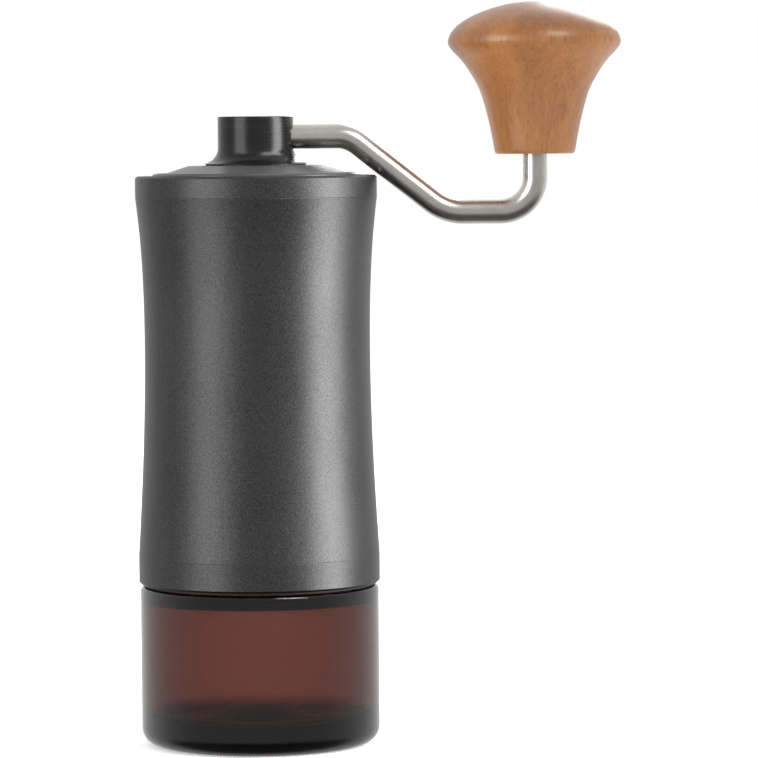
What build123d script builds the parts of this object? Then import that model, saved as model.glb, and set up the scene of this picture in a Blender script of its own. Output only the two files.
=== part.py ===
from build123d import *
import math
import os

# A hand crank coffee grinder, in millimetres. +Z is up, the origin is the centre of the
# jar's base, on the surface it stands on, and the crank points along +X.

# ---- driving dimensions: outside ----
JAR_R = 29.8
JAR_H = 40.0  # base to shoulder
JAR_WALL = 2.3
JAR_BASE_THICK = 5.5
JAR_BASE_CORNER = 5.0
JAR_SHOULDER_ROUND = 1.5
JAR_NECK_R = 23.5  # over the thread
JAR_NECK_WALL = 2.2
JAR_NECK_H = 8.4
JAR_GAP = 0.5  # between the shoulder and the sleeve's edge
SEAL_LIP_OVER_ROUND = 0.7  # how far the seal's lip reaches over the shoulder's round

SLEEVE_H = 101.5
SLEEVE_BORE_R = 26.0
FOOT_R = 30.1
FOOT_BAND = 7.1
WAIST_R = 28.1
WAIST_UP = 58.9  # waist above the sleeve's lower edge
RIM_R = 30.0
RIM_BAND = 5.4
RIM_FLARE = 0.13  # slope of the flare where it meets the rim band
EDGE = 0.5  # chamfer on the sleeve's edges

LID_RISE = 0.7  # flange top above the rim
LID_FLANGE = 1.65
LID_CREST = 1.8  # plateau above the flange
LID_FLAT_R = 22.0
LID_PLATEAU_R = 17.0

HUB_R = 9.4
HUB_FOOT_R = 13.4
HUB_FILLET = 4.0
HUB_H = 11.7
ROD_R = 3.0
ROD_BELOW_HUB_TOP = 5.1
CRANK_R = 69.5
CRANK_DROP = 19.0
BEND_BACK = 12.7  # first bend behind the rim, for a rod of no thickness
BEND_RUN = 24.0  # from the first bend to the second, along X
BEND_RADII = (8.5, 12.5, 8.5)

KNOB_R = 21.5
KNOB_FOOT_R = 10.0
KNOB_FOOT_ROUND = 0.6
KNOB_H = 37.8
KNOB_WIDEST_UP = 27.6
KNOB_OVER_BEND = 14.3  # knob's foot above the rod's lower centreline

# ---- driving dimensions: inside ----
SHAFT_R = 4.0
HEX_AF = 7.0
FLATS_AF = 6.4
THREAD_R = 3.0
BEARING_R = 8.0
BEARING_W = 5.0
BEARING_INNER_R = 5.3
BEARING_OUTER_R = 7.0
BALL_R = 1.2
BALL_COUNT = 8
BRIDGE_HUB_R = 10.6
BRIDGE_LIP = 1.5
BRIDGE_RIM = 2.25
SPOKE_W = 5.0
SPOKE_COUNT = 3
HOPPER_R = 22.8
UPPER_SEAT_R = 23.8
LEDGE = 2.8  # width of the step that the lower bridge rests on
SNAP_THICK = 1.0
SNAP_DEPTH = 0.8
SNAP_SHOWS = 1.2  # how far a snap ring stands out of its groove
BURR_R = 19.5
BURR_H = 16.5
BURR_TOP_R = 15.0
CONE_R = 17.0
CONE_H = 19.0
CONE_TOP_R = 7.6
CONE_FINE_H = 3.5
CONE_FINE_SLOPE = 0.23
GRIND_GAP = 0.4
CLAMP_R = 22.0
CLAMP_THICK = 2.9
SCREW_R = 0.95
SCREW_HEAD_R = 1.8
SCREW_HEAD = 1.2
SCREW_BITE = 6.0  # how far a clamp screw goes into the carrier
DIAL_R = 14.0
DIAL_H = 6.5
CLICKS = 12
CLICK_R = 6.2
CLICK_BALL_R = 1.0
POCKET_DEPTH = 3.6
PLATE_R = 8.6
PLATE_THICK = 1.2
SPRING_WIRE_R = 0.45
SPRING_COIL_R = 5.3
SPRING_TURNS = 4.0
CLICK_WIRE_R = 0.15
CLICK_COIL_R = 0.75
CLICK_TURNS = 2.5
SOCKET_R = 6.0
BUSH_R = 8.0
KNOB_BUSH_R = 5.0
KNOB_BUSH_H = 20.5
KNOB_BUSH_SET_IN = 0.3
BUSH_BRIM = 1.4
BUSH_BRIM_THICK = 0.5
CIRCLIP_THICK = 0.8
CIRCLIP_OUT = 1.4  # beyond the shaft
CIRCLIP_IN = 0.4  # into the shaft
WASHER_THICK = 0.8
HUB_WASHER_THICK = 0.5
PLUG_WALL = 1.8
ROOF = 1.9
ORING_CORD_R = 0.7
GRUB_R = 2.0
ROD_PAST_CLIP = 1.8
KNOB_END_ROOM = 2.7

# ---- clearances ----
FIT = 0.01  # pressed or glued, each side
SEAT = 0.05  # slipped in and held
SLIDE = 0.1  # sliding drive faces
RUN = 0.05  # turning in a bush
OPEN = 0.4  # free air between turning pieces

# ---- levels that follow ----
FOOT_Z = JAR_H + JAR_GAP
WAIST_Z = FOOT_Z + WAIST_UP
RIM_Z = FOOT_Z + SLEEVE_H
LID_TOP_Z = RIM_Z + LID_RISE
LID_SEAT_Z = LID_TOP_Z - LID_FLANGE
FRAME_TOP_Z = LID_SEAT_Z - SEAT
PLATEAU_Z = LID_TOP_Z + LID_CREST
HUB_Z = PLATEAU_Z + HUB_WASHER_THICK
HUB_TOP_Z = HUB_Z + HUB_H
ROD_Z = HUB_TOP_Z - ROD_BELOW_HUB_TOP
ROD_LOW_Z = ROD_Z - CRANK_DROP
BEND_START_X = RIM_R - BEND_BACK + 2 * ROD_R
BEND_END_X = BEND_START_X + BEND_RUN
KNOB_Z = ROD_LOW_Z + KNOB_OVER_BEND

NECK_TOP_Z = JAR_H + JAR_NECK_H
FRAME_FOOT_Z = JAR_H + 2.0
THREAD_BORE_R = JAR_NECK_R + OPEN
DIAL_SPACE_R = CLAMP_R + 1.0
CONE_Z = NECK_TOP_Z + 14.6
BURR_Z = CONE_Z + 0.5
BURR_TOP_Z = BURR_Z + BURR_H
LOWER_BRIDGE_Z = BURR_TOP_Z + 6.0
LOWER_SNAP_Z = LOWER_BRIDGE_Z + BEARING_W + SEAT
UPPER_BRIDGE_Z = FRAME_TOP_Z - 15.0
UPPER_SNAP_Z = UPPER_BRIDGE_Z + BEARING_W + SEAT
PLUG_Z = UPPER_SNAP_Z + SNAP_THICK + 3.4
SOCKET_TOP_Z = ROD_Z - ROD_R - OPEN
SHAFT_TOP_Z = SOCKET_TOP_Z - OPEN
SHAFT_END_Z = NECK_TOP_Z + 5.1
THREAD_TOP_Z = CONE_Z + 1.0
FLATS_TOP_Z = LOWER_BRIDGE_Z - 2.2
CONE_TOP_Z = CONE_Z + CONE_H
SPRING_SEAT_Z = CONE_Z + 11.0
DIAL_TOP_Z = CONE_Z - SLIDE

os.makedirs("parts", exist_ok=True)


def save(shape, node):
    export_step(shape, f"parts/{node}.step")


def turned(*lines):
    """Spin a closed profile of lines in the XZ plane about the Z axis."""
    return revolve(make_face(lines), Axis.Z)


def outline(points):
    """Straight lines through (radius, height) points."""
    return Polyline([(r, 0, z) for r, z in points])


def turned_outline(points):
    return turned(outline(points + points[:1]))


def tube(r_out, r_in, z, height):
    return Pos(0, 0, z) * extrude(Circle(r_out) - Circle(r_in), height)


def rod(r, z, height):
    return Pos(0, 0, z) * extrude(Circle(r), height)


def around(shape, count, start=0.0):
    """Copies of a shape spaced evenly about the Z axis."""
    return [Rot(0, 0, start + 360 * i / count) * shape for i in range(count)]


def arc(start, middle, end):
    return ThreePointArc(*[(r, 0, z) for r, z in (start, middle, end)])


def quarter(r, z, radius, quadrant):
    """The middle of a quarter round about the centre (r, z)."""
    half = radius * math.sqrt(0.5)
    right, up = quadrant
    return (r + right * half, z + up * half)


# ---- the jar ----
def glass_jar():
    corner = JAR_BASE_CORNER
    brow = JAR_SHOULDER_ROUND
    inner_r = JAR_R - JAR_WALL
    mouth_r = JAR_NECK_R - JAR_NECK_WALL
    heel = corner - 1.0
    neck_foot = 0.8
    lip = 0.6
    bevel = 0.6
    roof_drop = 1.1
    roof_z = JAR_H - JAR_WALL - roof_drop
    throat_z = JAR_H - bevel
    return turned(
        outline([(0, JAR_BASE_THICK), (0, 0), (JAR_R - corner, 0)]),
        arc((JAR_R - corner, 0), quarter(JAR_R - corner, corner, corner, (1, -1)), (JAR_R, corner)),
        outline([(JAR_R, corner), (JAR_R, JAR_H - brow)]),
        arc(
            (JAR_R, JAR_H - brow),
            quarter(JAR_R - brow, JAR_H - brow, brow, (1, 1)),
            (JAR_R - brow, JAR_H),
        ),
        outline([(JAR_R - brow, JAR_H), (JAR_NECK_R + neck_foot, JAR_H)]),
        outline([(JAR_NECK_R + neck_foot, JAR_H), (JAR_NECK_R, JAR_H + neck_foot)]),
        outline([(JAR_NECK_R, JAR_H + neck_foot), (JAR_NECK_R, NECK_TOP_Z - lip)]),
        arc(
            (JAR_NECK_R, NECK_TOP_Z - lip),
            quarter(JAR_NECK_R - lip, NECK_TOP_Z - lip, lip, (1, 1)),
            (JAR_NECK_R - lip, NECK_TOP_Z),
        ),
        outline([(JAR_NECK_R - lip, NECK_TOP_Z), (mouth_r, NECK_TOP_Z), (mouth_r, throat_z)]),
        outline([(mouth_r, throat_z), (inner_r - bevel, roof_z), (inner_r, roof_z - bevel)]),
        outline([(inner_r, roof_z - bevel), (inner_r, JAR_BASE_THICK + heel)]),
        arc(
            (inner_r, JAR_BASE_THICK + heel),
            quarter(inner_r - heel, JAR_BASE_THICK + heel, heel, (1, -1)),
            (inner_r - heel, JAR_BASE_THICK),
        ),
        outline([(inner_r - heel, JAR_BASE_THICK), (0, JAR_BASE_THICK)]),
    )


def jar_seal():
    """A ring in the sleeve's mouth with a thin lip between the shoulder and the sleeve's edge."""
    ring_r = SLEEVE_BORE_R - SLIDE
    lip_r = JAR_R - JAR_SHOULDER_ROUND + SEAL_LIP_OVER_ROUND
    neck_clear = 1.0
    bore_r = JAR_NECK_R + neck_clear
    foot_z = JAR_H + SEAT
    ring = tube(ring_r, bore_r, foot_z, FRAME_FOOT_Z - SEAT - foot_z)
    return ring + tube(lip_r, bore_r, foot_z, JAR_GAP - 2 * SEAT)


# ---- the body ----
def body_sleeve():
    """A tube with a straight bore whose outside narrows to a waist and flares to the rim."""
    foot_top = FOOT_Z + FOOT_BAND
    rim_foot = RIM_Z - RIM_BAND
    lower = Spline(
        (FOOT_R, 0, foot_top), (WAIST_R, 0, WAIST_Z), tangents=[(-0.065, 0, 1), (0, 0, 1)]
    )
    upper = Spline(
        (WAIST_R, 0, WAIST_Z), (RIM_R, 0, rim_foot), tangents=[(0, 0, 1), (RIM_FLARE, 0, 1)]
    )
    return turned(
        outline([(SLEEVE_BORE_R, RIM_Z), (SLEEVE_BORE_R, FOOT_Z), (FOOT_R - EDGE, FOOT_Z)]),
        outline([(FOOT_R - EDGE, FOOT_Z), (FOOT_R, FOOT_Z + EDGE), (FOOT_R, foot_top)]),
        lower,
        upper,
        outline([(RIM_R, rim_foot), (RIM_R, RIM_Z - EDGE), (RIM_R - EDGE, RIM_Z)]),
        outline([(RIM_R - EDGE, RIM_Z), (SLEEVE_BORE_R, RIM_Z)]),
    )


def snap_groove(bore_r, z):
    """The outline of a groove for an internal snap ring, going up."""
    floor_r = bore_r + SNAP_DEPTH
    top = z + SNAP_THICK + SEAT
    return [(bore_r, z), (floor_r, z), (floor_r, top), (bore_r, top)]


def burr_carrier():
    """A moulded tube: jar thread, dial space, clamp step, burr seat and funnel."""
    wall_r = SLEEVE_BORE_R - FIT * 2
    seat_r = BURR_R + SEAT
    clamp_z = BURR_Z - SEAT
    dial_top = clamp_z - CLAMP_THICK - SEAT
    neck_room = 2.0
    return turned_outline(
        [
            (wall_r, FRAME_FOOT_Z),
            (wall_r, LOWER_BRIDGE_Z),
            (HOPPER_R - LEDGE, LOWER_BRIDGE_Z),
            (BURR_TOP_R + OPEN, BURR_TOP_Z + SEAT),
            (seat_r, BURR_TOP_Z + SEAT),
            (seat_r, clamp_z),
            (CLAMP_R + SEAT, clamp_z),
            (CLAMP_R + SEAT, dial_top),
            (DIAL_SPACE_R, dial_top),
            (DIAL_SPACE_R, NECK_TOP_Z + neck_room),
            (THREAD_BORE_R, NECK_TOP_Z + neck_room),
            (THREAD_BORE_R, FRAME_FOOT_Z),
        ]
    )


def hopper_liner():
    """A moulded tube stood on the carrier: two bridge seats with snap grooves and the lid's seat."""
    wall_r = SLEEVE_BORE_R - FIT * 2
    foot_z = LOWER_BRIDGE_Z + FIT
    return turned_outline(
        [
            (wall_r, foot_z),
            (wall_r, FRAME_TOP_Z),
            (UPPER_SEAT_R, FRAME_TOP_Z),
            *reversed(snap_groove(UPPER_SEAT_R, UPPER_SNAP_Z)),
            (UPPER_SEAT_R, UPPER_BRIDGE_Z),
            (HOPPER_R, UPPER_BRIDGE_Z),
            *reversed(snap_groove(HOPPER_R, LOWER_SNAP_Z)),
            (HOPPER_R, foot_z),
        ]
    )


def bearing_bridge(ring_r, z, lip_up):
    """A rim and a hub joined by three spokes; a lip in the hub stops the bearing."""
    bite = 1.0
    rim = tube(ring_r - SEAT, ring_r - SEAT - BRIDGE_RIM, z, BEARING_W)
    hub = tube(BRIDGE_HUB_R, BEARING_R + FIT, z, BEARING_W)
    lip_z = z + BEARING_W if lip_up else z - BRIDGE_LIP
    lip = tube(BRIDGE_HUB_R, BEARING_OUTER_R, lip_z, BRIDGE_LIP)
    start_r = BRIDGE_HUB_R - bite
    reach = ring_r - bite - start_r
    spoke = Pos(start_r + reach / 2, 0, z + BEARING_W / 2) * Box(reach, SPOKE_W, BEARING_W)
    return rim + hub + lip + around(spoke, SPOKE_COUNT, 90)


def bridge_snap_rings():
    """An open ring in each groove, with its gap at the back."""
    gap_width = 8.0
    gap = Pos(0, HOPPER_R, 0) * Box(gap_width, 6, 3 * RIM_Z)
    rings = []
    for bore_r, groove_z in ((UPPER_SEAT_R, UPPER_SNAP_Z), (HOPPER_R, LOWER_SNAP_Z)):
        out_r = bore_r + SNAP_DEPTH - SEAT
        rings.append(tube(out_r, bore_r - SNAP_SHOWS, groove_z + SEAT / 2, SNAP_THICK) - gap)
    return Compound(rings)


# ---- the bearings ----
def ball_track(z):
    pitch_r = (BEARING_INNER_R + BEARING_OUTER_R) / 2
    return Pos(0, 0, z + BEARING_W / 2) * Torus(pitch_r, BALL_R + RUN)


def bearing_outer_ring(z):
    return tube(BEARING_R, BEARING_OUTER_R, z, BEARING_W) - ball_track(z)


def bearing_inner_ring(z):
    return tube(BEARING_INNER_R, SHAFT_R + FIT, z, BEARING_W) - ball_track(z)


def bearing_balls(z):
    pitch_r = (BEARING_INNER_R + BEARING_OUTER_R) / 2
    ball = Pos(pitch_r, 0, z + BEARING_W / 2) * Sphere(BALL_R)
    return Compound(around(ball, BALL_COUNT))


def bearing_shields():
    """A thin washer in each open face of both bearings."""
    thick = 0.3
    shields = []
    for z in (LOWER_BRIDGE_Z, UPPER_BRIDGE_Z):
        for level in (z + SLIDE, z + BEARING_W - thick - SLIDE):
            shields.append(tube(BEARING_OUTER_R - FIT, BEARING_INNER_R + SLIDE, level, thick))
    return Compound(shields)


# ---- the burrs ----
def cone_r(z):
    """Radius of the inner burr at a height, before its teeth are cut."""
    fine_top = CONE_Z + CONE_FINE_H
    fine_r = CONE_R - CONE_FINE_SLOPE * CONE_FINE_H
    if z <= fine_top:
        return CONE_R - CONE_FINE_SLOPE * (z - CONE_Z)
    return fine_r + (CONE_TOP_R - fine_r) * (z - fine_top) / (CONE_TOP_Z - fine_top)


def ring_burr():
    """A hardened ring whose bore narrows the grinding gap towards its lower edge."""
    fine_top = CONE_Z + CONE_FINE_H
    body = turned_outline(
        [
            (BURR_R, BURR_Z),
            (BURR_R, BURR_TOP_Z),
            (BURR_TOP_R, BURR_TOP_Z),
            (cone_r(fine_top) + GRIND_GAP, fine_top),
            (cone_r(BURR_Z) + GRIND_GAP, BURR_Z),
        ]
    )
    tooth_side = 1.6
    tooth_count = 24
    twist = 18
    lean = math.degrees(math.atan(0.12))
    cutter = Rot(0, 0, 45) * Box(tooth_side, tooth_side, 1.4 * BURR_H)
    mid_r = (cone_r(fine_top) + GRIND_GAP + BURR_TOP_R) / 2
    valley = Pos(mid_r, 0, (BURR_Z + BURR_TOP_Z) / 2) * Rot(twist, -lean, 0) * cutter
    return body - around(valley, tooth_count)


def clamp_face_z():
    return BURR_Z - SEAT * 2 - CLAMP_THICK


def screw_circle_r():
    return (BURR_R + CLAMP_R) / 2


def burr_clamp_ring():
    z = clamp_face_z()
    hole = Pos(screw_circle_r(), 0, 0) * rod(SCREW_R + 3 * SEAT, z - 1, CLAMP_THICK + 2)
    return tube(CLAMP_R, CONE_R + 2 * OPEN, z, CLAMP_THICK) - around(hole, 3)


def clamp_screw():
    """An M2 screw: a slotted pan head under the clamp ring and a shank up into the carrier."""
    face = clamp_face_z() - SEAT
    slot_width = 0.5
    slot_depth = 0.3
    head = rod(SCREW_HEAD_R, face - SCREW_HEAD, SCREW_HEAD)
    shank = rod(SCREW_R, face, CLAMP_THICK + SCREW_BITE)
    slot = Pos(0, 0, face - SCREW_HEAD) * Box(slot_width, 3 * SCREW_HEAD_R, 2 * slot_depth)
    return Pos(screw_circle_r(), 0, 0) * (head + shank - slot)


def screw_holes():
    """The holes in the carrier that the clamp screws cut."""
    hole = rod(SCREW_R + FIT, clamp_face_z(), CLAMP_THICK + SCREW_BITE + OPEN)
    return around(Pos(screw_circle_r(), 0, 0) * hole, 3)


def flats(width, z, height):
    """A round bar with two flats across Y."""
    return Pos(0, 0, z) * extrude(Circle(SHAFT_R) & Rectangle(3 * SHAFT_R, width), height)


def cone_burr():
    """The inner burr: coarse flutes on its cone, fine teeth at its foot, a bore with two flats."""
    fine_top = CONE_Z + CONE_FINE_H
    body = turned_outline(
        [
            (0, CONE_Z),
            (CONE_R, CONE_Z),
            (cone_r(fine_top), fine_top),
            (CONE_TOP_R, CONE_TOP_Z),
            (0, CONE_TOP_Z),
        ]
    )
    flute_r = 2.3
    flute_count = 7
    flute_twist = 26
    fine_side = 0.8
    fine_count = 36
    well = rod(SPRING_COIL_R + SPRING_WIRE_R + OPEN, SPRING_SEAT_Z, CONE_H)
    bore = Pos(0, 0, CONE_Z - 1) * extrude(
        Circle(SHAFT_R + SLIDE) & Rectangle(3 * SHAFT_R, FLATS_AF + 2 * SLIDE), CONE_H
    )
    plate_well = rod(PLATE_R, CONE_Z - 1, PLATE_THICK + 1)
    lean = math.degrees(math.atan((cone_r(fine_top) - CONE_TOP_R) / (CONE_TOP_Z - fine_top)))
    cutter = Rot(flute_twist, -lean, 0) * Cylinder(flute_r, 3 * CONE_H)
    mid_z = (fine_top + CONE_TOP_Z) / 2 + 1.5
    flute = Pos(cone_r(mid_z) + 1.2, 0, mid_z) * cutter
    tooth = Rot(0, 0, 45) * Box(fine_side, fine_side, 2.4 * CONE_FINE_H)
    fine = Pos(CONE_R - 0.3, 0, CONE_Z + 1) * Rot(16, -13, 0) * tooth
    hollow = body - well - bore - plate_well
    return hollow - around(flute, flute_count) - around(fine, fine_count)


def click_plate():
    """A thin plate let into the burr's foot, with a dimple for each click."""
    plate = tube(PLATE_R - SEAT, SHAFT_R + 2 * SLIDE, CONE_Z, PLATE_THICK - SEAT)
    dimple_depth = 0.4
    dimple_r = CLICK_BALL_R + SLIDE
    dimple = Pos(CLICK_R, 0, CONE_Z - dimple_r + dimple_depth) * Sphere(dimple_r)
    return plate - around(dimple, CLICKS)


# ---- the shaft ----
def circlip(shaft_r, z, gap_back=True):
    """A C-shaped clip in a groove."""
    mouth = 2.4
    ring = tube(shaft_r + CIRCLIP_OUT, shaft_r - CIRCLIP_IN, z, CIRCLIP_THICK)
    side = 1 if gap_back else -1
    return ring - Pos(0, side * (shaft_r + 1), z) * Box(mouth, 4, 4)


def groove(shaft_r, z):
    return tube(shaft_r + 1, shaft_r - CIRCLIP_IN - FIT, z - FIT, CIRCLIP_THICK + 2 * FIT)


def upper_clip_z():
    return UPPER_BRIDGE_Z + BEARING_W + SEAT


def lower_clip_z():
    return LOWER_BRIDGE_Z - SEAT - CIRCLIP_THICK


def washer_z():
    return lower_clip_z() - SEAT - WASHER_THICK


def drive_shaft():
    """Hex at the top, two round journals, two flats under the lower journal, a thread at the end."""
    hex_z = UPPER_BRIDGE_Z + BEARING_W + 3.0
    core = rod(SHAFT_R, FLATS_TOP_Z, SHAFT_TOP_Z - FLATS_TOP_Z)
    hexagon = RegularPolygon(HEX_AF / 2, 6, major_radius=False, rotation=30)
    hex_bar = Pos(0, 0, hex_z) * extrude(hexagon & Circle(SHAFT_R), SHAFT_TOP_Z - hex_z)
    lower = flats(FLATS_AF, THREAD_TOP_Z, FLATS_TOP_Z - THREAD_TOP_Z)
    thread = rod(THREAD_R, SHAFT_END_Z, THREAD_TOP_Z - SHAFT_END_Z)
    shaft = core - rod(SHAFT_R + 2, hex_z, SHAFT_TOP_Z - hex_z + 1) + hex_bar + lower + thread
    return shaft - groove(SHAFT_R, upper_clip_z()) - groove(SHAFT_R, lower_clip_z())


def shaft_circlips():
    return Compound([circlip(SHAFT_R, upper_clip_z()), circlip(SHAFT_R, lower_clip_z(), False)])


def spring_washer():
    brim = SPRING_COIL_R + SPRING_WIRE_R + 2 * OPEN
    return tube(brim, SHAFT_R + SLIDE, washer_z(), WASHER_THICK)


def burr_spring():
    """A round-wire coil between the washer and the bottom of the burr's well."""
    low = SPRING_SEAT_Z + SPRING_WIRE_R + SEAT
    high = washer_z() - SPRING_WIRE_R - SEAT
    pitch = (high - low) / SPRING_TURNS
    path = Pos(0, 0, low) * Helix(pitch, high - low, SPRING_COIL_R)
    start = path @ 0
    wire = Plane(origin=start, z_dir=path % 0) * Circle(SPRING_WIRE_R)
    return sweep(wire, path=path, is_frenet=True)


# ---- the grind setting ----
def dial_pockets():
    pocket = rod(CLICK_BALL_R + SLIDE, DIAL_TOP_Z - POCKET_DEPTH, POCKET_DEPTH + 1)
    return around(Pos(CLICK_R, 0, 0) * pocket, 2)


def grind_dial():
    """A nut with a scalloped grip; it climbs the shaft's thread and carries the burr."""
    body = tube(DIAL_R, THREAD_R + SLIDE, DIAL_TOP_Z - DIAL_H, DIAL_H)
    scallop_r = 2.2
    scallop_depth = 0.9
    brim = 1.5
    scallop = rod(scallop_r, DIAL_TOP_Z - DIAL_H - 1, DIAL_H - brim + 1)
    grip = Pos(DIAL_R + scallop_r - scallop_depth, 0, 0) * scallop
    return body - around(grip, CLICKS) - dial_pockets()


def click_balls():
    ball = Pos(CLICK_R, 0, DIAL_TOP_Z - CLICK_BALL_R + SLIDE / 2) * Sphere(CLICK_BALL_R)
    return Compound(around(ball, 2))


def click_springs():
    """A small coil at the bottom of each pocket."""
    low = DIAL_TOP_Z - POCKET_DEPTH + CLICK_WIRE_R + SEAT
    high = DIAL_TOP_Z - 2 * CLICK_BALL_R - CLICK_WIRE_R
    path = Helix((high - low) / CLICK_TURNS, high - low, CLICK_COIL_R)
    wire = Plane(origin=path @ 0, z_dir=path % 0) * Circle(CLICK_WIRE_R)
    coil = Pos(CLICK_R, 0, low) * sweep(wire, path=path, is_frenet=True)
    return Compound(around(coil, 2))


# ---- the lid ----
def bush_foot_z():
    return PLUG_Z + 1.7


def ring_groove_z():
    return PLUG_Z + 2.8


def lid():
    """Flat flange, conical dome, centre boss for the bush and a plug with a ring groove."""
    flange_r = SLEEVE_BORE_R - 5 * SEAT
    plug_r = UPPER_SEAT_R - OPEN
    plug_in = plug_r - PLUG_WALL
    ring_depth = 1.1
    edge = 0.3
    ring_low = ring_groove_z() - 1.0
    ring_high = ring_groove_z() + 1.0
    boss_r = BUSH_R + 2.0
    return turned_outline(
        [
            (BUSH_R, bush_foot_z()),
            (BUSH_R, PLATEAU_Z),
            (LID_PLATEAU_R, PLATEAU_Z),
            (LID_FLAT_R, LID_TOP_Z),
            (flange_r - edge, LID_TOP_Z),
            (flange_r, LID_TOP_Z - edge),
            (flange_r, LID_SEAT_Z),
            (plug_r, LID_SEAT_Z),
            (plug_r, ring_high),
            (plug_r - ring_depth, ring_high),
            (plug_r - ring_depth, ring_low),
            (plug_r, ring_low),
            (plug_r, PLUG_Z),
            (plug_in, PLUG_Z),
            (plug_in, LID_TOP_Z - ROOF),
            (LID_PLATEAU_R - OPEN, PLATEAU_Z - ROOF),
            (boss_r, PLATEAU_Z - ROOF),
            (boss_r, bush_foot_z()),
        ]
    )


def lid_bush():
    foot = bush_foot_z()
    bore_r = SOCKET_R + RUN
    sleeve = tube(BUSH_R - FIT, bore_r, foot - FIT, PLATEAU_Z - foot)
    return sleeve + tube(BUSH_R + BUSH_BRIM, bore_r, foot - FIT - BUSH_BRIM_THICK, BUSH_BRIM_THICK)


def lid_o_ring():
    ring_r = UPPER_SEAT_R - SEAT - ORING_CORD_R
    return Pos(0, 0, ring_groove_z()) * Torus(ring_r, ORING_CORD_R)


# ---- the crank ----
def rod_start_x():
    return -0.6 * HUB_R


def crank_hub():
    """A flat-topped hub that spreads in a fillet to its foot."""
    edge = 0.3
    bend_z = HUB_Z + HUB_FILLET
    half = HUB_FILLET * (1 - math.sqrt(0.5))
    body = turned(
        outline([(0, HUB_TOP_Z), (0, HUB_Z), (HUB_FOOT_R, HUB_Z)]),
        arc((HUB_FOOT_R, HUB_Z), (HUB_R + half, HUB_Z + half), (HUB_R, bend_z)),
        outline([(HUB_R, bend_z), (HUB_R, HUB_TOP_Z - edge), (HUB_R - edge, HUB_TOP_Z)]),
        outline([(HUB_R - edge, HUB_TOP_Z), (0, HUB_TOP_Z)]),
    )
    socket_hole = rod(SOCKET_R + FIT, HUB_Z - 1, SOCKET_TOP_Z + FIT - HUB_Z + 1)
    rod_hole = Pos(rod_start_x(), 0, ROD_Z) * Rot(0, 90, 0) * rod(ROD_R + FIT, 0, 3 * HUB_R)
    screw_hole = Pos(0, 0, ROD_Z) * Rot(-90, 0, 0) * rod(GRUB_R + FIT, 0, 2 * HUB_R)
    return body - socket_hole - rod_hole - screw_hole


def socket_clip_z():
    return bush_foot_z() - BUSH_BRIM_THICK - 2 * SEAT - CIRCLIP_THICK


def drive_socket():
    """A steel sleeve with a hexagonal hole, pressed into the hub and reaching down to the shaft."""
    below_clip = 1.2
    foot = socket_clip_z() - below_clip
    hexagon = RegularPolygon(HEX_AF / 2 + SLIDE, 6, major_radius=False, rotation=30)
    sleeve = Pos(0, 0, foot) * extrude(Circle(SOCKET_R) - hexagon, SOCKET_TOP_Z - foot)
    return sleeve - groove(SOCKET_R, socket_clip_z())


def socket_circlip():
    return circlip(SOCKET_R, socket_clip_z())


def hub_washer():
    set_back = 0.9
    thick = HUB_WASHER_THICK - 4 * FIT
    return tube(HUB_FOOT_R - set_back, SOCKET_R + FIT, PLATEAU_Z + 2 * FIT, thick)


def crank_rod():
    """Out of the hub, down a slope, level, then up through the knob."""
    top_z = knob_clip_z() + CIRCLIP_THICK + ROD_PAST_CLIP
    path = FilletPolyline(
        (rod_start_x(), 0, ROD_Z),
        (BEND_START_X, 0, ROD_Z),
        (BEND_END_X, 0, ROD_LOW_Z),
        (CRANK_R, 0, ROD_LOW_Z),
        (CRANK_R, 0, top_z),
        radius=BEND_RADII,
    )
    wire = Plane(origin=(rod_start_x(), 0, ROD_Z), z_dir=(1, 0, 0)) * Circle(ROD_R)
    bar = sweep(wire, path=path)
    dimple = Pos(0, ROD_R - CIRCLIP_IN, ROD_Z) * Rot(-90, 0, 0) * rod(GRUB_R + FIT, 0, 2)
    return bar - dimple - Pos(CRANK_R, 0, 0) * groove(ROD_R, knob_clip_z())


def rod_grub_screw():
    length = 5.0
    key_r = 1.0
    key_depth = 1.9
    foot = ROD_R - CIRCLIP_IN + FIT
    screw = rod(GRUB_R, foot, length)
    key = Pos(0, 0, foot + length - key_depth) * extrude(RegularPolygon(key_r, 6), key_depth + 1)
    return Pos(0, 0, ROD_Z) * Rot(-90, 0, 0) * (screw - key)


# ---- the knob ----
def knob_bush_foot_z():
    return KNOB_Z + KNOB_BUSH_SET_IN


def knob_bush_top_z():
    return knob_bush_foot_z() + KNOB_BUSH_H


def knob_clip_z():
    return knob_bush_top_z() + KNOB_BUSH_SET_IN


def wooden_knob():
    """A mushroom: a domed head, a soft edge at its widest and a stem that thins to the foot."""
    widest = KNOB_Z + KNOB_WIDEST_UP
    top = KNOB_Z + KNOB_H
    shoulder = (0.79 * KNOB_R, 0, widest + 0.575 * (top - widest))
    dome = Spline((0, 0, top), shoulder, (KNOB_R, 0, widest), tangents=[(1, 0, 0), (0, 0, -1)])
    shares = ((0.935, 0.92), (0.847, 0.848), (0.753, 0.746), (0.628, 0.562), (0.53, 0.286))
    stem = [(KNOB_R * across, 0, KNOB_Z + KNOB_WIDEST_UP * up) for across, up in shares]
    foot = (KNOB_FOOT_R, 0, KNOB_Z + KNOB_FOOT_ROUND)
    under = Spline((KNOB_R, 0, widest), *stem, foot, tangents=[(-0.35, 0, -1), (-0.12, 0, -1)])
    foot_edge = [foot[::2], (KNOB_FOOT_R - KNOB_FOOT_ROUND, KNOB_Z), (0, KNOB_Z), (0, top)]
    body = turned(
        dome,
        under,
        outline(foot_edge),
    )
    bore_top = knob_clip_z() + ROD_PAST_CLIP + KNOB_END_ROOM
    bore = rod(KNOB_BUSH_R + FIT, KNOB_Z - 1, bore_top - KNOB_Z + 1)
    return Pos(CRANK_R, 0, 0) * (body - bore)


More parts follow.
